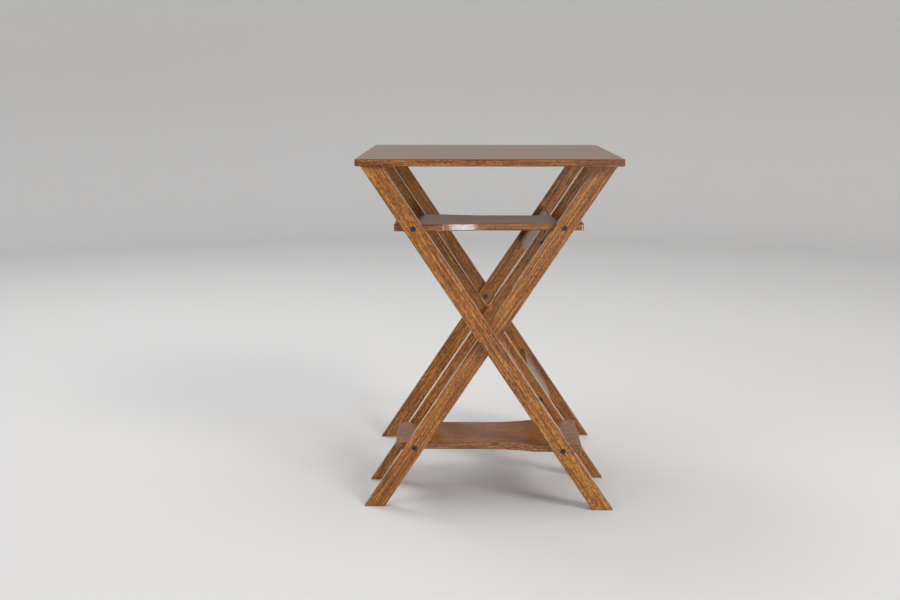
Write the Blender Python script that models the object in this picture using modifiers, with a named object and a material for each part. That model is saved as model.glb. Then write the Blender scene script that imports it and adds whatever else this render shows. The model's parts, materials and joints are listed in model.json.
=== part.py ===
"""Folding tray table: crossed legs in three pairs, two shelves and a lift-off top.

Metres, +Z up, +X to the right, +Y to the rear. The origin is on the floor under the middle of the top.
The outer legs rise to the left and the inner legs rise to the right. Both frames turn on the pivot axis,
which is parallel to Y at half the height of the legs. The shelves hang between the front and middle pairs.
"""

import math

import bmesh
import bpy
from mathutils import Matrix, Vector

# Overall sizes.
TABLE_HEIGHT = 0.750
TOP_WIDTH = 0.560
TOP_DEPTH = 0.642
FRAME_WIDTH = 0.5352
FRAME_DEPTH = 0.628
FRONT_BAY = 0.176

# Boards.
TOP_THICKNESS = 0.015
TOP_CORNER_RADIUS = 0.010
LEG_WIDTH = 0.037
LEG_THICKNESS = 0.019
SHELF_LENGTH = 0.400
SHELF_THICKNESS = 0.015
SHELF_CORNER_RADIUS = 0.004
SHELF_BOLT_REACH = 0.2856
SHELF_ARRIS = 0.0965
SHELF_ARRIS_RADIUS = 0.005
STRETCHER_WIDTH = 0.100
STRETCHER_THICKNESS = 0.015
STRETCHER_REACH = 0.2204
BATTEN_WIDTH = 0.018
BATTEN_HEIGHT = 0.015
LEG_EDGE = 0.0013
BOARD_EDGE = 0.0018

# Fasteners.
SHANK_RADIUS = 0.003
HEAD_RADIUS = 0.00565
HEAD_HEIGHT = 0.005
HEAD_SINK = 0.0003
SOCKET_RADIUS = 0.0027
SOCKET_DEPTH = 0.0026
BOLT_REACH = 0.011
INSERT_RADIUS = 0.0045
INSERT_LENGTH = 0.012
WASHER_RADIUS = 0.009
WASHER_THICKNESS = 0.001
SCREW_RADIUS = 0.002
SCREW_HEAD_RADIUS = 0.004
SCREW_HEAD_HEIGHT = 0.003
SCREW_REACH = 0.008
BATTEN_SCREW_INSET = 0.050

# Clearances.
SEAT_GAP = 0.0003
BATTEN_GAP = 0.001
CUT_OVERRUN = 0.002

# How finely round shapes are divided.
ROUND_STEPS = 24
EDGE_STEPS = 3
CORNER_STEPS = 6
ARRIS_STEPS = 3
SWEEP_STEPS = 16
SMOOTH_ANGLE = math.radians(30)
BEVEL_ANGLE = math.radians(35)
WELD_DISTANCE = 0.00001
FLAT_ANGLE = 0.001

# Places that follow from the sizes above.
LEG_HEIGHT = TABLE_HEIGHT - TOP_THICKNESS - SEAT_GAP
PIVOT_HEIGHT = LEG_HEIGHT / 2
LEG_SLOPE = math.atan2(LEG_HEIGHT, FRAME_WIDTH) + math.asin(LEG_WIDTH / math.hypot(FRAME_WIDTH, LEG_HEIGHT))
FOOT_WIDTH = LEG_WIDTH / math.sin(LEG_SLOPE)
FOOT_CENTRE = (FRAME_WIDTH - FOOT_WIDTH) / 2
LEG_GAP = WASHER_THICKNESS + 2 * SEAT_GAP
FRAME_FRONT = -FRAME_DEPTH / 2
FRAME_REAR = FRAME_DEPTH / 2

OUTER, INNER = "outer", "inner"
LEAN = {OUTER: -1, INNER: 1}
LEG_FRONT = {
    (OUTER, "front"): FRAME_FRONT,
    (INNER, "front"): FRAME_FRONT + LEG_THICKNESS + LEG_GAP,
    (INNER, "middle"): FRAME_FRONT + 2 * LEG_THICKNESS + LEG_GAP + FRONT_BAY,
    (OUTER, "middle"): FRAME_FRONT + 3 * LEG_THICKNESS + 2 * LEG_GAP + FRONT_BAY,
    (INNER, "rear"): FRAME_REAR - 2 * LEG_THICKNESS - LEG_GAP,
    (OUTER, "rear"): FRAME_REAR - LEG_THICKNESS,
}
BAY_CENTRE = FRAME_FRONT + 2 * LEG_THICKNESS + LEG_GAP + FRONT_BAY / 2
SHELF_NARROW = FRONT_BAY - 2 * SEAT_GAP
SHELF_WIDE = SHELF_NARROW + 2 * (LEG_THICKNESS + LEG_GAP)
SHANK_IN_LEG = LEG_THICKNESS - HEAD_SINK - HEAD_HEIGHT

WOOD = ("stained_wood", (0.42, 0.20, 0.09), 0.42, 0.0)
TOP_WOOD = ("top_wood", (0.40, 0.24, 0.15), 0.35, 0.0)
BLACK_STEEL = ("black_steel", (0.03, 0.035, 0.05), 0.35, 0.9)
ZINC = ("zinc", (0.62, 0.60, 0.55), 0.35, 0.9)
NYLON = ("nylon", (0.80, 0.79, 0.75), 0.5, 0.0)


def clear_scene():
    for found in list(bpy.data.objects):
        bpy.data.objects.remove(found, do_unlink=True)


def new_collection(name):
    collection = bpy.data.collections.new(name)
    bpy.context.scene.collection.children.link(collection)
    return collection


def finish_material(spec):
    """Returns the Principled material of that name, making it on first use."""
    name, colour, roughness, metallic = spec
    material = bpy.data.materials.get(name)
    if material is None:
        material = bpy.data.materials.new(name)
        material.use_nodes = True
        shader = material.node_tree.nodes["Principled BSDF"]
        shader.inputs["Base Color"].default_value = (*colour, 1.0)
        shader.inputs["Roughness"].default_value = roughness
        shader.inputs["Metallic"].default_value = metallic
        material.diffuse_color = (*colour, 1.0)
    return material


def place(name, mesh, collection, matrix=None):
    piece = bpy.data.objects.new(name, mesh)
    piece.matrix_world = matrix or Matrix()
    collection.objects.link(piece)
    return piece


def evaluated_mesh(piece, flatten=False):
    """Removes the object and returns its welded mesh, modifiers applied, with whole flat faces if asked."""
    bpy.context.view_layer.update()
    graph = bpy.context.evaluated_depsgraph_get()
    mesh = bpy.data.meshes.new_from_object(piece.evaluated_get(graph))
    bpy.data.objects.remove(piece, do_unlink=True)
    shape = bmesh.new()
    shape.from_mesh(mesh)
    bmesh.ops.remove_doubles(shape, verts=shape.verts, dist=WELD_DISTANCE)
    if flatten:
        bmesh.ops.dissolve_limit(shape, angle_limit=FLAT_ANGLE, verts=shape.verts, edges=shape.edges)
    bmesh.ops.recalc_face_normals(shape, faces=shape.faces)
    shape.to_mesh(mesh)
    shape.free()
    return mesh


def paint(piece, spec):
    piece.data.materials.clear()
    piece.data.materials.append(finish_material(spec))


def box_mesh(name, width, depth, height, lean=0.0):
    """A box centred on the origin. lean shears it, as the x it gains for each unit of height."""
    mesh = bpy.data.meshes.new(name)
    shape = bmesh.new()
    bmesh.ops.create_cube(shape, size=1)
    bmesh.ops.scale(shape, vec=(width, depth, height), verts=shape.verts)
    for corner in shape.verts:
        corner.co.x += corner.co.z * lean
    shape.to_mesh(mesh)
    shape.free()
    return mesh


def finish_piece(piece, spec, edge=0.0, cutters=()):
    """Gives a piece its material, eased edges and cuts, in that order."""
    paint(piece, spec)
    if edge:
        bevel = piece.modifiers.new("eased_edges", "BEVEL")
        bevel.width = edge
        bevel.segments = EDGE_STEPS
        bevel.limit_method = "ANGLE"
        bevel.angle_limit = BEVEL_ANGLE
    for cutter in cutters:
        cut = piece.modifiers.new("cut_" + cutter.name, "BOOLEAN")
        cut.operation = "DIFFERENCE"
        cut.solver = "EXACT"
        cut.object = cutter
    return piece


def turned_mesh(name, profile):
    """A solid turned about Z from (radius, height) points that run down its outer side."""
    mesh = bpy.data.meshes.new(name)
    shape = bmesh.new()
    points = [shape.verts.new((radius, 0, height)) for radius, height in profile]
    for first, second in zip(points, points[1:]):
        shape.edges.new((first, second))
    shape.to_mesh(mesh)
    shape.free()
    turned = place(name, mesh, bpy.context.scene.collection)
    screw = turned.modifiers.new("turn", "SCREW")
    screw.axis = "Z"
    screw.angle = math.tau
    screw.steps = ROUND_STEPS
    screw.render_steps = ROUND_STEPS
    screw.use_merge_vertices = True
    screw.merge_threshold = WELD_DISTANCE
    result = evaluated_mesh(turned)
    result.shade_smooth()
    result.set_sharp_from_angle(angle=SMOOTH_ANGLE)
    return result


def along_y(x, y, z, direction):
    """Stands a turned piece at (x, y, z) with its +Z pointing rearward for 1 and forward for -1."""
    return Matrix.Translation((x, y, z)) @ Matrix.Rotation(-direction * math.pi / 2, 4, "X")


def make_cutter(name, mesh, matrix):
    cutter = place(name, mesh, CUTTERS, matrix)
    cutter.hide_render = True
    cutter.display_type = "WIRE"
    return cutter


def on_leg(frame, reach):
    """The (x, z) point at that distance up the frame's leg from the pivot, or down for a negative one."""
    return LEAN[frame] * reach * math.cos(LEG_SLOPE), PIVOT_HEIGHT + reach * math.sin(LEG_SLOPE)


def bolt_mesh(name, shank):
    """A bolt with its head's face at the origin, its shank along -Z and a hexagonal socket in the head."""
    body = turned_mesh(
        name,
        [
            (0, 0),
            (HEAD_RADIUS, 0),
            (HEAD_RADIUS, -HEAD_HEIGHT),
            (SHANK_RADIUS, -HEAD_HEIGHT),
            (SHANK_RADIUS, -HEAD_HEIGHT - shank),
            (0, -HEAD_HEIGHT - shank),
        ],
    )
    socket = bpy.data.meshes.new(name + "_socket")
    shape = bmesh.new()
    bmesh.ops.create_cone(
        shape,
        cap_ends=True,
        segments=6,
        radius1=SOCKET_RADIUS,
        radius2=SOCKET_RADIUS,
        depth=2 * SOCKET_DEPTH,
    )
    shape.to_mesh(socket)
    shape.free()
    blank = place(name, body, bpy.context.scene.collection)
    driver = place(name + "_driver", socket, bpy.context.scene.collection)
    finish_piece(blank, BLACK_STEEL, cutters=[driver])
    result = evaluated_mesh(blank)
    bpy.data.objects.remove(driver, do_unlink=True)
    return result


def hole_mesh(name, shank_radius, shank_depth, head_radius, head_depth):
    """A stepped hole whose mouth is at the origin and which runs along -Z."""
    return turned_mesh(
        name,
        [
            (0, CUT_OVERRUN),
            (head_radius, CUT_OVERRUN),
            (head_radius, -head_depth),
            (shank_radius, -head_depth),
            (shank_radius, -shank_depth),
            (0, -shank_depth),
        ],
    )


def ring_mesh(name, radius, bore, length):
    """A plain ring with its upper face at the origin, along -Z."""
    return turned_mesh(name, [(bore, 0), (radius, 0), (radius, -length), (bore, -length), (bore, 0)])


def outline_board(name, points, thickness):
    """A flat board from its outline in XY, centred on z = 0."""
    curve = bpy.data.curves.new(name, "CURVE")
    curve.dimensions = "2D"
    curve.fill_mode = "BOTH"
    curve.extrude = thickness / 2
    spline = curve.splines.new("POLY")
    spline.points.add(len(points) - 1)
    for target, (x, y) in zip(spline.points, points):
        target.co = (x, y, 0, 1)
    spline.use_cyclic_u = True
    return evaluated_mesh(place(name, curve, bpy.context.scene.collection), flatten=True)


def arc(centre_x, centre_y, radius, start, end, steps):
    """Points on an arc between two angles in degrees, both ends included."""
    angles = [math.radians(start + (end - start) * step / steps) for step in range(steps + 1)]
    return [(centre_x + radius * math.cos(a), centre_y + radius * math.sin(a)) for a in angles]


def rounded_rectangle(width, depth, radius):
    steps = CORNER_STEPS
    x, y = width / 2 - radius, depth / 2 - radius
    return (
        arc(x, y, radius, 0, 90, steps)
        + arc(-x, y, radius, 90, 180, steps)
        + arc(-x, -y, radius, 180, 270, steps)
        + arc(x, -y, radius, 270, 360, steps)
    )


def shelf_outline():
    """The shelf's outline: a wide left part, and an arc in each long edge down to the narrow right part."""
    radius, arris = SHELF_CORNER_RADIUS, SHELF_ARRIS_RADIUS
    end, wide, narrow = SHELF_LENGTH / 2, SHELF_WIDE / 2, SHELF_NARROW / 2
    step = wide - narrow
    sweep_radius = (SHELF_ARRIS**2 + step**2) / (2 * step)
    sweep_y = narrow + sweep_radius
    arris_y = wide - arris
    arris_x = -math.sqrt((sweep_radius + arris) ** 2 - (sweep_y - arris_y) ** 2)
    join = 270 - math.degrees(math.atan2(-arris_x, sweep_y - arris_y))
    rear = (
        arc(end - radius, narrow - radius, radius, 0, 90, CORNER_STEPS)
        + arc(0, sweep_y, sweep_radius, 270, join, SWEEP_STEPS)
        + arc(arris_x, arris_y, arris, join - 180, 90, ARRIS_STEPS)[1:]
        + arc(-end + radius, wide - radius, radius, 90, 180, CORNER_STEPS)
    )
    return rear + [(x, -y) for x, y in reversed(rear)]


def make_leg(frame, position, cutters):
    """A straight board cut level at both ends, leaning with its frame."""
    name = f"{frame}_leg_{position}"
    mesh = box_mesh(name, FOOT_WIDTH, LEG_THICKNESS, LEG_HEIGHT, LEAN[frame] * 2 * FOOT_CENTRE / LEG_HEIGHT)
    middle = LEG_FRONT[frame, position] + LEG_THICKNESS / 2
    leg = place(name, mesh, PARTS, Matrix.Translation((0, middle, PIVOT_HEIGHT)))
    return finish_piece(leg, WOOD, LEG_EDGE, cutters)


def leg_face(frame, position, side):
    """The y of a leg's front face for side -1, or of its rear face for side 1."""
    return LEG_FRONT[frame, position] + (LEG_THICKNESS if side > 0 else 0)


def make_bolted_joint(name, frame, position, reach, head_side, mesh):
    """A bolt through a leg at that reach, its head sunk in the face on head_side, and its leg cutter."""
    x, z = on_leg(frame, reach)
    face = leg_face(frame, position, head_side)
    bolt = place(name, mesh, PARTS, along_y(x, face - head_side * HEAD_SINK, z, head_side))
    cutter = make_cutter(name + "_hole", MESHES["leg_hole"], along_y(x, face, z, head_side))
    return bolt, cutter


def make_insert(name, x, y, z, mouth_side):
    """A threaded insert sunk just below the face at y, its mouth towards mouth_side, and its cutter."""
    insert = place(name, MESHES["insert"], PARTS, along_y(x, y - mouth_side * SEAT_GAP, z, mouth_side))
    paint(insert, ZINC)
    return make_cutter(name + "_hole", MESHES["insert_hole"], along_y(x, y, z, mouth_side))


def make_shelf(name, level):
    """A shelf and its four bolts and inserts. level is 1 for the upper shelf and -1 for the lower one."""
    _, height = on_leg(OUTER, level * SHELF_BOLT_REACH)
    cutters = []
    leg_cutters = {}
    for frame in (OUTER, INNER):
        x, _ = on_leg(frame, level * SHELF_BOLT_REACH)
        half_depth = (SHELF_WIDE if frame == OUTER else SHELF_NARROW) / 2
        bolt = MESHES["long_bolt"] if frame == OUTER else MESHES["short_bolt"]
        for position, side in (("front", -1), ("middle", 1)):
            label = f"{name}_{frame}_{position}"
            cutters.append(make_insert(label + "_insert", x, BAY_CENTRE + side * half_depth, height, side))
            _, cutter = make_bolted_joint(
                label + "_bolt", frame, position, level * SHELF_BOLT_REACH, side, bolt
            )
            leg_cutters[frame, position] = cutter
    turn = Matrix.Rotation(0 if level > 0 else math.pi, 4, "Z")
    shelf = place(name, MESHES["shelf"].copy(), PARTS, Matrix.Translation((0, BAY_CENTRE, height)) @ turn)
    finish_piece(shelf, WOOD, BOARD_EDGE, cutters)
    return leg_cutters


def make_stretcher(frame, level):
    """The wide board between a frame's middle and rear legs, with its end bolts and inserts."""
    x, z = on_leg(frame, level * STRETCHER_REACH)
    front = leg_face(frame, "middle", 1) + SEAT_GAP
    rear = leg_face(frame, "rear", -1) - SEAT_GAP
    name = f"{frame}_stretcher"
    leg_cutters = {}
    cutters = []
    for position, y, side in (("middle", front, -1), ("rear", rear, 1)):
        label = f"{name}_{position}"
        cutters.append(make_insert(label + "_insert", x, y, z, side))
        _, cutter = make_bolted_joint(
            label + "_bolt", frame, position, level * STRETCHER_REACH, side, MESHES["long_bolt"]
        )
        leg_cutters[frame, position] = cutter
    tilt = Matrix.Rotation(-LEAN[frame] * LEG_SLOPE, 4, "Y")
    mesh = box_mesh(name, STRETCHER_WIDTH, rear - front, STRETCHER_THICKNESS)
    board = place(name, mesh, PARTS, Matrix.Translation((x, (front + rear) / 2, z)) @ tilt)
    finish_piece(board, WOOD, BOARD_EDGE, cutters)
    return leg_cutters


def make_pivot(position, through, held):
    """The pivot of one leg pair: a bolt through one leg, a washer, and an insert in the held leg."""
    head_side = 1 if LEG_FRONT[through, position] > LEG_FRONT[held, position] else -1
    _, through_cutter = make_bolted_joint(
        f"pivot_{position}_bolt", through, position, 0, head_side, MESHES["pivot_bolt"]
    )
    held_face = leg_face(held, position, head_side)
    held_cutter = make_insert(f"pivot_{position}_insert", 0, held_face, PIVOT_HEIGHT, head_side)
    washer_face = held_face + head_side * (WASHER_THICKNESS + SEAT_GAP)
    washer = place(
        f"pivot_{position}_washer",
        MESHES["washer"],
        PARTS,
        along_y(0, washer_face, PIVOT_HEIGHT, head_side),
    )
    paint(washer, NYLON)
    return {(through, position): through_cutter, (held, position): held_cutter}


def make_top():
    """The lift-off top, with a batten under each side that drops in between the middle and rear legs."""
    underside = TABLE_HEIGHT - TOP_THICKNESS
    cutters = []
    for side, frame in (("left", OUTER), ("right", INNER)):
        front = leg_face(frame, "middle", 1) + BATTEN_GAP
        rear = leg_face(frame, "rear", -1) - BATTEN_GAP
        x = LEAN[frame] * FOOT_CENTRE
        face = underside - SEAT_GAP - BATTEN_HEIGHT
        batten_cutters = []
        for end, y in (("front", front + BATTEN_SCREW_INSET), ("rear", rear - BATTEN_SCREW_INSET)):
            name = f"batten_{side}_{end}_screw"
            seat = Matrix.Translation((x, y, face)) @ Matrix.Rotation(math.pi, 4, "X")
            sunk = seat @ Matrix.Translation((0, 0, -HEAD_SINK))
            screw = place(name, MESHES["screw"], PARTS, sunk)
            paint(screw, ZINC)
            hole = make_cutter(name + "_hole", MESHES["screw_hole"], seat)
            batten_cutters.append(hole)
            cutters.append(hole)
        mesh = box_mesh(f"top_batten_{side}", BATTEN_WIDTH, rear - front, BATTEN_HEIGHT)
        centre = Vector((x, (front + rear) / 2, face + BATTEN_HEIGHT / 2))
        batten = place(f"top_batten_{side}", mesh, PARTS, Matrix.Translation(centre))
        finish_piece(batten, WOOD, LEG_EDGE, batten_cutters)
    outline = rounded_rectangle(TOP_WIDTH, TOP_DEPTH, TOP_CORNER_RADIUS)
    board = outline_board("table_top", outline, TOP_THICKNESS)
    top = place("table_top", board, PARTS, Matrix.Translation((0, 0, underside + TOP_THICKNESS / 2)))
    finish_piece(top, TOP_WOOD, BOARD_EDGE, cutters)


clear_scene()
PARTS = new_collection("folding_tray_table")
CUTTERS = new_collection("cutters")
MESHES = {
    "long_bolt": bolt_mesh("long_bolt", SHANK_IN_LEG + SEAT_GAP + BOLT_REACH),
    "short_bolt": bolt_mesh("short_bolt", SHANK_IN_LEG - SEAT_GAP),
    "pivot_bolt": bolt_mesh("pivot_bolt", SHANK_IN_LEG + LEG_GAP + BOLT_REACH),
    "insert": ring_mesh("insert", INSERT_RADIUS, SHANK_RADIUS + SEAT_GAP, INSERT_LENGTH),
    "washer": ring_mesh("washer", WASHER_RADIUS, SHANK_RADIUS + SEAT_GAP, WASHER_THICKNESS),
    "leg_hole": hole_mesh(
        "leg_hole",
        SHANK_RADIUS + SEAT_GAP,
        LEG_THICKNESS + CUT_OVERRUN,
        HEAD_RADIUS + SEAT_GAP,
        HEAD_SINK + HEAD_HEIGHT + SEAT_GAP,
    ),
    "insert_hole": hole_mesh(
        "insert_hole",
        INSERT_RADIUS / 2,
        INSERT_LENGTH + 3 * SEAT_GAP,
        INSERT_RADIUS + SEAT_GAP,
        INSERT_LENGTH + 2 * SEAT_GAP,
    ),
    "screw": turned_mesh(
        "screw",
        [
            (0, 0),
            (SCREW_HEAD_RADIUS, 0),
            (SCREW_RADIUS, -SCREW_HEAD_HEIGHT),
            (SCREW_RADIUS, -BATTEN_HEIGHT - SCREW_REACH),
            (0, -BATTEN_HEIGHT - SCREW_REACH),
        ],
    ),
    "screw_hole": hole_mesh(
        "screw_hole",
        SCREW_RADIUS + SEAT_GAP,
        BATTEN_HEIGHT + SCREW_REACH + 2 * SEAT_GAP + HEAD_SINK,
        SCREW_HEAD_RADIUS + SEAT_GAP,
        SCREW_HEAD_HEIGHT + HEAD_SINK,
    ),
    "shelf": outline_board("shelf", shelf_outline(), SHELF_THICKNESS),
}

leg_cuts = {key: [] for key in LEG_FRONT}
cut_groups = [make_shelf("upper_shelf", 1), make_shelf("lower_shelf", -1)]
cut_groups += [make_stretcher(INNER, 1), make_stretcher(OUTER, -1)]
cut_groups += [
    make_pivot("front", through=INNER, held=OUTER),
    make_pivot("middle", through=OUTER, held=INNER),
    make_pivot("rear", through=INNER, held=OUTER),
]
for group in cut_groups:
    for key, cutter in group.items():
        leg_cuts[key].append(cutter)
for (frame, position), cutters in leg_cuts.items():
    make_leg(frame, position, cutters)
make_top()
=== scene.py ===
"""Looks of the folding tray table: stained wood boards, black socket bolts, a pale floor and soft studio light."""

import json
import math

import bmesh
import bpy
from mathutils import Matrix, Vector

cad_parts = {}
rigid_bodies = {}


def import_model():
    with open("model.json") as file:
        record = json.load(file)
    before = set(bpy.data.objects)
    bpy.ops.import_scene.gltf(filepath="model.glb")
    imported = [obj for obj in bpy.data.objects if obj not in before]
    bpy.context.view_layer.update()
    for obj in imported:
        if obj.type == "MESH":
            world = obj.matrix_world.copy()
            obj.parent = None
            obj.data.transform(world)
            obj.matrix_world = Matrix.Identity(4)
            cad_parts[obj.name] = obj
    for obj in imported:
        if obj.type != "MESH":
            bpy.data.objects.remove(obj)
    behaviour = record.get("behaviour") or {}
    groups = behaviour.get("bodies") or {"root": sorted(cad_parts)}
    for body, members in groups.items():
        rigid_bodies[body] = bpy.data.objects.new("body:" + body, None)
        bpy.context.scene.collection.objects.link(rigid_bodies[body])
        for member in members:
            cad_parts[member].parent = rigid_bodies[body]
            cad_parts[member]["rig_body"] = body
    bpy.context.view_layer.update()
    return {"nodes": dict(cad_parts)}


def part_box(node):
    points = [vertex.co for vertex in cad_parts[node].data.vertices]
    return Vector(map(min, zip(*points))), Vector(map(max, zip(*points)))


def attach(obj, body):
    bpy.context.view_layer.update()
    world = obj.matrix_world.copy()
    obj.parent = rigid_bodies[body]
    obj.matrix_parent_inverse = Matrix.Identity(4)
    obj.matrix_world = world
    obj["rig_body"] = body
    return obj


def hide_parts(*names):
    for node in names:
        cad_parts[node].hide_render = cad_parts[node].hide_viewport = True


# The camera, in metres and degrees.
CAMERA_PLACE = (-0.0438, -3.0427, 0.906)
CAMERA_YAW = 0.8
CAMERA_PITCH = 8.01
CAMERA_SHIFT = -0.035
SENSOR_WIDTH = 36.0
IMAGE_WIDTH = 900
FOCAL_PIXELS = 1320

# The studio, in metres.
FLOOR_RADIUS = 4.6
COVE_RADIUS = 1.0
COVE_STEPS = 12
WALL_HEIGHT = 5.5
FLOOR_COLOUR = (0.56, 0.555, 0.55)
FLOOR_ROUGHNESS = 0.75

# The world's light and the soft lights: place, target, width, height, watts, colour and spread in degrees.
WORLD_COLOUR = (0.90, 0.92, 0.95)
WORLD_STRENGTH = 0.50
WHITE = (1, 1, 1)
LIGHTS = {
    "window_light": ((1.30, -2.95, 0.25), (0, -0.2, 0.42), 1.3, 0.38, 2.6, (0.78, 0.89, 1.0), 60),
    "key_light": ((2.7, -3.2, 3.0), (0, -0.2, 0.4), 1.4, 1.4, 125, (1.0, 0.96, 0.92), 180),
    "ceiling_light": ((0.0, 0.0, 5.2), (0, 0, 0), 7.6, 7.6, 165, WHITE, 180),
    "left_light": ((-3.0, -2.6, 2.4), (0, 0, 0.4), 2.0, 2.0, 26, WHITE, 180),
    "rear_light": ((-1.6, 2.2, 3.4), (0, 0, 0.3), 1.8, 1.8, 50, WHITE, 180),
}

# The stains from dark to light along the streaks, as linear colours, and where the streaks' noise reaches each.
LEG_TONES = ((0.128, 0.047, 0.014), (0.245, 0.097, 0.020), (0.400, 0.180, 0.038))
BOARD_TONES = ((0.105, 0.036, 0.010), (0.195, 0.071, 0.013), (0.315, 0.130, 0.025))
STREAK_STOPS = (0.38, 0.50, 0.62)

# The layers of the grain: cycles a metre along it and across it, detail, roughness and distortion.
GRAIN_LAYERS = {
    "bands": ((1.6, 24.0), 2.0, 0.5, 0.4),
    "hues": ((70.0, 330.0), 1.0, 0.55, 0.0),
    "streaks": ((10.0, 560.0), 2.0, 0.6, 0.3),
    "flecks": ((160.0, 700.0), 2.0, 0.6, 0.0),
    "pores": ((70.0, 1400.0), 2.0, 0.5, 0.0),
}
GRAIN_OFFSET = (0.731, 0.417, 0.293)

# What the layers multiply the stain by, as (noise, colour) stops, and how strongly.
LAYER_TONES = {
    "bands": (((0.32, (0.88, 0.82, 0.86)), (0.68, (1.10, 1.10, 1.04))), 1.0),
    "hues": (((0.36, (1.12, 0.90, 0.90)), (0.64, (0.92, 1.08, 1.00))), 1.0),
    "flecks": (((0.36, (0.46, 0.40, 0.42)), (0.50, (0.98, 0.98, 0.98)), (0.64, (1.62, 1.56, 1.38))), 1.0),
    "pores": (((0.36, (0.42, 0.32, 0.30)), (0.44, WHITE)), 0.7),
}

# The top's painted light, by how far a face looks up: painted shade on the upper arrises and a painted grey reflection
# on the upper face.
PAINTED_ARRIS_SHADE = (0.30, 0.28, 0.26)
PAINTED_FACE_REFLECTION = (0.66, 0.74, 1.05)
PAINTED_TOP_LIGHT_TONES = ((0.10, WHITE), (0.25, PAINTED_ARRIS_SHADE), (0.93, PAINTED_ARRIS_SHADE), (0.99, PAINTED_FACE_REFLECTION))

# Lacquer, sheen and relief of the wood.
COAT_ROUGHNESS = 0.12
SPECULAR_LEVEL = 0.30
DULLEST = 0.12
GLOSSIEST = -0.06
RELIEF_STRENGTH = 0.30
RELIEF_DEPTH = 0.0003
PORE_RELIEF = 0.6

# Mottling of the metal and nylon parts.
SPECKLE_SCALE = 900.0
SPECKLE_DETAIL = 3.0
SPECKLE_STOPS = (0.35, 0.75)
SPECKLE_GLOSS = (-0.08, 0.12)

# Finer hardware than the CAD solids carry. Sizes in metres.
TURN_STEPS = 48
SMOOTH_ANGLE = math.radians(32)
WELD_DISTANCE = 0.000001
RIM = 0.0005
RIM_STEPS = 4
HEAD_HEIGHT = 0.005
INSERT_BORE = 0.0033
THREAD_PITCH = 0.001
THREAD_DEPTH = 0.00028
THREAD_ROOT = 0.1
THREAD_CREST = 0.5
SOCKET_ACROSS_CORNERS = 0.0026
SOCKET_DEPTH = 0.0026
SOCKET_TAPER = 0.04
POINT_LENGTH = 3

# How a turned CAD node is read.
SAME_SIZE = 0.0002
RIM_SHARE = 0.97
SHANK_SHARE = 0.4
AXIS_RADIUS = 0.0005

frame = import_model()


def add_node(tree, kind, **settings):
    node = tree.nodes.new(kind)
    for name, value in settings.items():
        setattr(node, name, value)
    return node


def ramp(tree, stops, source):
    """The colour of a ramp fed by a value socket. stops are (position, colour) pairs."""
    node = add_node(tree, "ShaderNodeValToRGB")
    node.color_ramp.elements[0].position = stops[0][0]
    node.color_ramp.elements[0].color = (*stops[0][1], 1)
    node.color_ramp.elements[1].position = stops[-1][0]
    node.color_ramp.elements[1].color = (*stops[-1][1], 1)
    for position, colour in stops[1:-1]:
        node.color_ramp.elements.new(position).color = (*colour, 1)
    tree.links.new(source, node.inputs[0])
    return node.outputs[0]


def multiply(tree, colour, tone, share=1.0):
    """A colour multiplied by a tone, which counts by its share."""
    node = add_node(tree, "ShaderNodeMix", data_type="RGBA", blend_type="MULTIPLY")
    node.inputs[0].default_value = share
    tree.links.new(colour, node.inputs[6])
    tree.links.new(tone, node.inputs[7])
    return node.outputs[2]


def map_range(tree, source, low, high):
    """A value between 0 and 1 stretched to run from low to high."""
    node = add_node(tree, "ShaderNodeMapRange")
    node.inputs["To Min"].default_value = low
    node.inputs["To Max"].default_value = high
    tree.links.new(source, node.inputs[0])
    return node.outputs[0]


def grain_noise(tree, place, scale, detail, roughness, distortion):
    stretched = add_node(tree, "ShaderNodeVectorMath", operation="MULTIPLY")
    stretched.inputs[1].default_value = (scale[0], scale[1], scale[1])
    tree.links.new(place, stretched.inputs[0])
    node = add_node(tree, "ShaderNodeTexNoise")
    node.inputs["Scale"].default_value = 1.0
    node.inputs["Detail"].default_value = detail
    node.inputs["Roughness"].default_value = roughness
    node.inputs["Distortion"].default_value = distortion
    tree.links.new(stretched.outputs[0], node.inputs["Vector"])
    return node.outputs[0]


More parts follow.
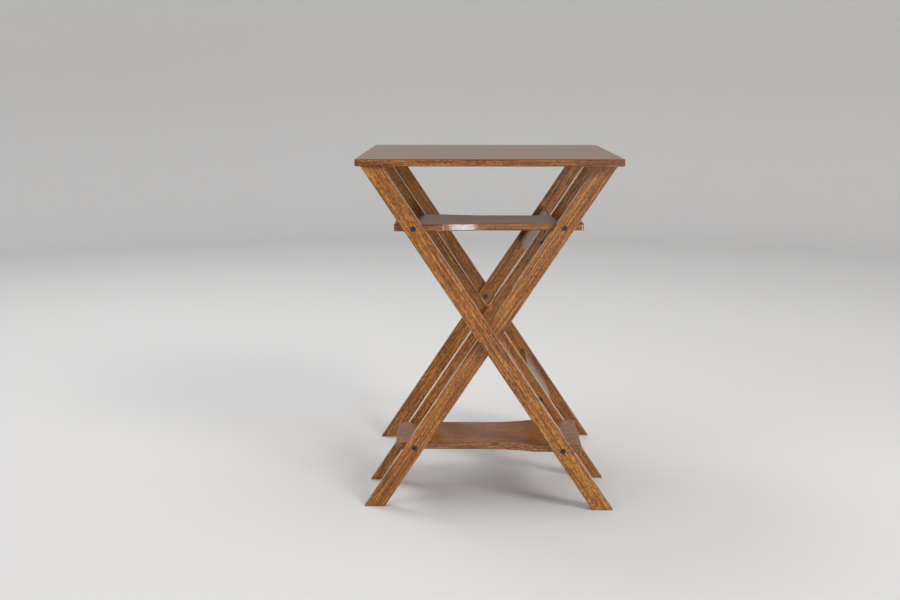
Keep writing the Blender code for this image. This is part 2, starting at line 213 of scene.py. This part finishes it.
def wood_material(name, axis, seed, tones, face_axis, face_coat, edge_coat, gloss=0.34, painted_top_light=False):
    """Open-grained stained wood. axis is the direction of the grain, in the table's own frame.

    face_axis is the axis that the broad faces look along. They have a thinner coat of lacquer than the edges.
    gloss is the roughness under the lacquer. With the top flag set, shade is painted onto the upper arrises and a grey
    reflection is painted onto the upper face.
    """
    material = bpy.data.materials.new(name)
    material.use_nodes = True
    tree = material.node_tree
    shader = tree.nodes["Principled BSDF"]
    place = add_node(tree, "ShaderNodeTexCoord")
    mapping = add_node(tree, "ShaderNodeMapping", vector_type="POINT")
    turn = Vector(axis).normalized().to_track_quat("X", "Z").inverted()
    mapping.inputs["Rotation"].default_value = turn.to_euler()
    tree.links.new(place.outputs["Object"], mapping.inputs["Vector"])
    shifted = add_node(tree, "ShaderNodeVectorMath", operation="ADD")
    shifted.inputs[1].default_value = [seed * offset for offset in GRAIN_OFFSET]
    tree.links.new(mapping.outputs[0], shifted.inputs[0])
    layers = {
        layer: grain_noise(tree, shifted.outputs[0], *settings) for layer, settings in GRAIN_LAYERS.items()
    }

    colour = ramp(tree, tuple(zip(STREAK_STOPS, tones)), layers["streaks"])
    for layer, (stops, share) in LAYER_TONES.items():
        colour = multiply(tree, colour, ramp(tree, stops, layers[layer]), share)
    facing = add_node(tree, "ShaderNodeSeparateXYZ")
    tree.links.new(place.outputs["Normal"], facing.inputs[0])
    # Painted shade on the top's upper arrises and a painted grey reflection on its upper face, picked by how far a
    # face looks up.
    if painted_top_light:
        colour = multiply(tree, colour, ramp(tree, PAINTED_TOP_LIGHT_TONES, facing.outputs[2]))
    tree.links.new(colour, shader.inputs["Base Color"])

    broad = add_node(tree, "ShaderNodeMath", operation="ABSOLUTE")
    tree.links.new(facing.outputs["XYZ".index(face_axis)], broad.inputs[0])
    lacquer = map_range(tree, broad.outputs[0], edge_coat, face_coat)
    tree.links.new(lacquer, shader.inputs["Coat Weight"])
    shader.inputs["Coat Roughness"].default_value = COAT_ROUGHNESS
    sheen = map_range(tree, layers["flecks"], gloss + DULLEST, gloss + GLOSSIEST)
    tree.links.new(sheen, shader.inputs["Roughness"])
    shader.inputs["Specular IOR Level"].default_value = SPECULAR_LEVEL

    height = add_node(tree, "ShaderNodeMath", operation="MULTIPLY_ADD")
    height.inputs[1].default_value = PORE_RELIEF
    tree.links.new(layers["pores"], height.inputs[0])
    tree.links.new(layers["flecks"], height.inputs[2])
    bump = add_node(tree, "ShaderNodeBump")
    bump.inputs["Strength"].default_value = RELIEF_STRENGTH
    bump.inputs["Distance"].default_value = RELIEF_DEPTH
    tree.links.new(height.outputs[0], bump.inputs["Height"])
    tree.links.new(bump.outputs[0], shader.inputs["Normal"])
    return material


def mottled_material(name, colour, roughness, metallic, wear):
    """A plated or blackened metal, or nylon, with faint mottling and worn, lighter patches."""
    material = bpy.data.materials.new(name)
    material.use_nodes = True
    tree = material.node_tree
    shader = tree.nodes["Principled BSDF"]
    place = add_node(tree, "ShaderNodeTexCoord")
    speckle = add_node(tree, "ShaderNodeTexNoise")
    speckle.inputs["Scale"].default_value = SPECKLE_SCALE
    speckle.inputs["Detail"].default_value = SPECKLE_DETAIL
    tree.links.new(place.outputs["Object"], speckle.inputs["Vector"])
    tone = ramp(tree, tuple(zip(SPECKLE_STOPS, (colour, wear))), speckle.outputs[0])
    tree.links.new(tone, shader.inputs["Base Color"])
    gloss = map_range(tree, speckle.outputs[0], *(roughness + change for change in SPECKLE_GLOSS))
    tree.links.new(gloss, shader.inputs["Roughness"])
    shader.inputs["Metallic"].default_value = metallic
    return material


def grain_axis(leg):
    """The direction of a leg, from the middle of its foot to the middle of its upper end."""
    points = [vertex.co for vertex in frame["nodes"][leg].data.vertices]
    low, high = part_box(leg)
    middle = (low.z + high.z) / 2
    foot = [point for point in points if point.z < middle]
    top = [point for point in points if point.z >= middle]
    axis = sum(top, Vector()) / len(top) - sum(foot, Vector()) / len(foot)
    axis.y = 0
    return axis


def wood_for(node, seed):
    name = node + "_wood"
    if node == "table_top":
        # The top gets painted shade on its upper arrises and a painted grey reflection on its upper face.
        return wood_material(name, (1, 0, 0), seed, BOARD_TONES, "Z", 0.15, 0.3, 0.30, painted_top_light=True)
    if node.endswith("_shelf"):
        return wood_material(name, (1, 0, 0), seed, BOARD_TONES, "Z", 0.15, 0.95, 0.32)
    if "stretcher" in node or "batten" in node:
        return wood_material(name, (0, 1, 0), seed, BOARD_TONES, "Y", 0.25, 0.25)
    return wood_material(name, grain_axis(node), seed, LEG_TONES, "Y", 0.15, 0.85)


def turned_mesh(name, profile):
    """A mesh turned about Z from (radius, height) points that run along its outline."""
    mesh = bpy.data.meshes.new(name)
    shape = bmesh.new()
    points = [shape.verts.new((radius, 0, height)) for radius, height in profile]
    edges = [shape.edges.new(pair) for pair in zip(points, points[1:])]
    bmesh.ops.spin(
        shape,
        geom=points + edges,
        cent=(0, 0, 0),
        axis=(0, 0, 1),
        angle=math.tau,
        steps=TURN_STEPS,
        use_merge=True,
    )
    bmesh.ops.remove_doubles(shape, verts=shape.verts, dist=WELD_DISTANCE)
    bmesh.ops.recalc_face_normals(shape, faces=shape.faces)
    shape.to_mesh(mesh)
    shape.free()
    return mesh


def smooth_round(mesh):
    mesh.shade_smooth()
    mesh.set_sharp_from_angle(angle=SMOOTH_ANGLE)
    return mesh


def with_socket(mesh, sides, radius, depth):
    """Cuts a socket with that many sides into the face at the origin of a turned mesh."""
    scene = bpy.context.scene.collection
    tool_mesh = bpy.data.meshes.new("socket")
    shape = bmesh.new()
    bmesh.ops.create_cone(
        shape,
        cap_ends=True,
        segments=sides,
        radius1=radius * (1 - SOCKET_TAPER),
        radius2=radius * (1 + SOCKET_TAPER),
        depth=2 * depth,
    )
    shape.to_mesh(tool_mesh)
    shape.free()
    blank = bpy.data.objects.new("blank", mesh)
    tool = bpy.data.objects.new("socket_tool", tool_mesh)
    scene.objects.link(blank)
    scene.objects.link(tool)
    cut = blank.modifiers.new("cut", "BOOLEAN")
    cut.operation = "DIFFERENCE"
    cut.solver = "EXACT"
    cut.object = tool
    bpy.context.view_layer.update()
    result = bpy.data.meshes.new_from_object(blank.evaluated_get(bpy.context.evaluated_depsgraph_get()))
    bpy.data.objects.remove(blank)
    bpy.data.objects.remove(tool)
    return result


def rim(radius):
    """A small rounding at the outer edge of a head whose face is at height 0."""
    turns = [math.radians(90 * step / RIM_STEPS) for step in range(RIM_STEPS + 1)]
    return [(radius - RIM + RIM * math.sin(a), -RIM + RIM * math.cos(a)) for a in turns]


def thread(radius, top, bottom):
    """Ridges down a shank from one height to another."""
    points = []
    for ridge in range(int((top - bottom) / THREAD_PITCH)):
        height = top - ridge * THREAD_PITCH
        points.append((radius - THREAD_DEPTH, height - THREAD_ROOT * THREAD_PITCH))
        points.append((radius, height - THREAD_CREST * THREAD_PITCH))
    return points


def fastener_axis(node):
    """The axis of a turned CAD node: its mouth or head end, its direction, its length and its two radii."""
    low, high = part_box(node)
    size = high - low
    way = "z" if abs(size.x - size.y) < SAME_SIZE else "y"
    centre = (low + high) / 2
    points = [vertex.co - centre for vertex in frame["nodes"][node].data.vertices]
    index = "xyz".index(way)
    spread = [(math.sqrt(max(point.length_squared - point[index] ** 2, 0)), point[index]) for point in points]
    widest = max(reach for reach, _ in spread)
    rims = [along for reach, along in spread if reach > RIM_SHARE * widest]
    side = 1 if sum(rims) / len(rims) > 0 else -1
    tail = -SHANK_SHARE * size[index]
    narrow = [reach for reach, along in spread if along * side < tail and reach > AXIS_RADIUS]
    head = centre.copy()
    head[index] = centre[index] + side * size[index] / 2
    direction = Vector((0, 0, 0))
    direction[index] = side
    return head, direction, size[index], widest, max(narrow) if narrow else widest


def replace_turned(node, mesh, material, head, direction):
    piece = bpy.data.objects.new(node + "_detail", smooth_round(mesh))
    bpy.context.scene.collection.objects.link(piece)
    piece.matrix_world = Matrix.Translation(head) @ direction.to_track_quat("Z", "X").to_matrix().to_4x4()
    mesh.materials.clear()
    mesh.materials.append(material)
    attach(piece, frame["nodes"][node]["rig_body"])
    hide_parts(node)


def detailed_bolt(node, store):
    """A socket bolt with a rounded rim, a hexagonal socket and a threaded shank. store keeps one mesh a length."""
    head, direction, length, radius, shank = fastener_axis(node)
    key = round(length, 5)
    if key not in store:
        profile = [(0, 0), *rim(radius), (radius, -HEAD_HEIGHT + RIM / 2), (radius - RIM / 2, -HEAD_HEIGHT)]
        profile.append((shank, -HEAD_HEIGHT))
        profile += thread(shank, -HEAD_HEIGHT - THREAD_PITCH, -length + THREAD_PITCH)
        profile += [(shank - THREAD_DEPTH, -length), (0, -length)]
        store[key] = with_socket(turned_mesh("bolt", profile), 6, SOCKET_ACROSS_CORNERS, SOCKET_DEPTH)
    replace_turned(node, store[key].copy(), black_steel, head, direction)


def detailed_insert(node):
    """A threaded insert with ridges outside and a chamfered bore."""
    head, direction, length, radius, _ = fastener_axis(node)
    profile = [(INSERT_BORE + RIM, 0), (radius - RIM, 0), (radius - THREAD_DEPTH, -RIM)]
    profile += thread(radius, -THREAD_PITCH, -length + THREAD_PITCH)
    profile += [(radius - THREAD_DEPTH, -length), (INSERT_BORE, -length)]
    profile += [(INSERT_BORE, -RIM), (INSERT_BORE + RIM, 0)]
    replace_turned(node, turned_mesh(node, profile), zinc, head, direction)


def detailed_screw(node):
    """A countersunk wood screw with a square drive, a threaded shank and a point."""
    head, direction, length, radius, shank = fastener_axis(node)
    point_start = -length + POINT_LENGTH * shank
    profile = [(0, 0), (radius - RIM / 2, 0), (radius, -RIM / 2), (shank, -radius + shank)]
    profile += thread(shank, -radius, point_start)
    profile += [(shank - THREAD_DEPTH, point_start), (0, -length)]
    mesh = with_socket(turned_mesh(node, profile), 4, radius / 2, radius / 2)
    replace_turned(node, mesh, zinc, head, direction)


def studio():
    """A round pale floor that curves up into a wall all round, the same from every side."""
    profile = [(0.0, 0.0), (FLOOR_RADIUS, 0.0)]
    for step in range(1, COVE_STEPS + 1):
        turn = math.radians(90 * step / COVE_STEPS)
        profile.append((FLOOR_RADIUS + COVE_RADIUS * math.sin(turn), COVE_RADIUS * (1 - math.cos(turn))))
    profile.append((FLOOR_RADIUS + COVE_RADIUS, WALL_HEIGHT))
    floor = bpy.data.objects.new("floor", smooth_round(turned_mesh("floor", profile)))
    bpy.context.scene.collection.objects.link(floor)
    pale = bpy.data.materials.new("pale_floor")
    pale.use_nodes = True
    shader = pale.node_tree.nodes["Principled BSDF"]
    shader.inputs["Base Color"].default_value = (*FLOOR_COLOUR, 1)
    shader.inputs["Roughness"].default_value = FLOOR_ROUGHNESS
    floor.data.materials.append(pale)


def soft_light(name, place, target, width, height, power, colour, spread):
    lamp = bpy.data.lights.new(name, "AREA")
    lamp.shape = "RECTANGLE"
    lamp.size = width
    lamp.size_y = height
    lamp.energy = power
    lamp.color = colour
    lamp.spread = math.radians(spread)
    piece = bpy.data.objects.new(name, lamp)
    bpy.context.scene.collection.objects.link(piece)
    piece.location = place
    piece.rotation_euler = (Vector(target) - Vector(place)).to_track_quat("-Z", "Y").to_euler()
    piece.visible_camera = False


def world_light():
    world = bpy.data.worlds.new("studio_world")
    world.use_nodes = True
    background = world.node_tree.nodes["Background"]
    background.inputs[0].default_value = (*WORLD_COLOUR, 1)
    background.inputs[1].default_value = WORLD_STRENGTH
    bpy.context.scene.world = world


def camera():
    lens = bpy.data.cameras.new("camera")
    lens.sensor_width = SENSOR_WIDTH
    lens.lens = FOCAL_PIXELS / IMAGE_WIDTH * SENSOR_WIDTH
    lens.shift_y = CAMERA_SHIFT
    piece = bpy.data.objects.new("camera", lens)
    bpy.context.scene.collection.objects.link(piece)
    piece.location = CAMERA_PLACE
    piece.rotation_euler = (math.radians(90 - CAMERA_PITCH), 0, math.radians(CAMERA_YAW))
    bpy.context.scene.camera = piece


black_steel = mottled_material("black_steel", (0.016, 0.030, 0.044), 0.38, 0.7, (0.05, 0.075, 0.10))
zinc = mottled_material("zinc_plate", (0.52, 0.50, 0.44), 0.34, 1.0, (0.66, 0.64, 0.60))
nylon = mottled_material("nylon", (0.70, 0.69, 0.64), 0.50, 0.0, (0.76, 0.75, 0.71))

bolt_meshes = {}
for seed, (name, piece) in enumerate(sorted(frame["nodes"].items()), 1):
    piece.data.materials.clear()
    if name.endswith("bolt"):
        piece.data.materials.append(black_steel)
        detailed_bolt(name, bolt_meshes)
    elif name.endswith("insert"):
        piece.data.materials.append(zinc)
        detailed_insert(name)
    elif name.endswith("screw"):
        piece.data.materials.append(zinc)
        detailed_screw(name)
    elif name.endswith("washer"):
        piece.data.materials.append(nylon)
    else:
        piece.data.materials.append(wood_for(name, seed))

studio()
for name, settings in LIGHTS.items():
    soft_light(name, *settings)
world_light()
bpy.context.scene.view_settings.view_transform = "Standard"
camera()
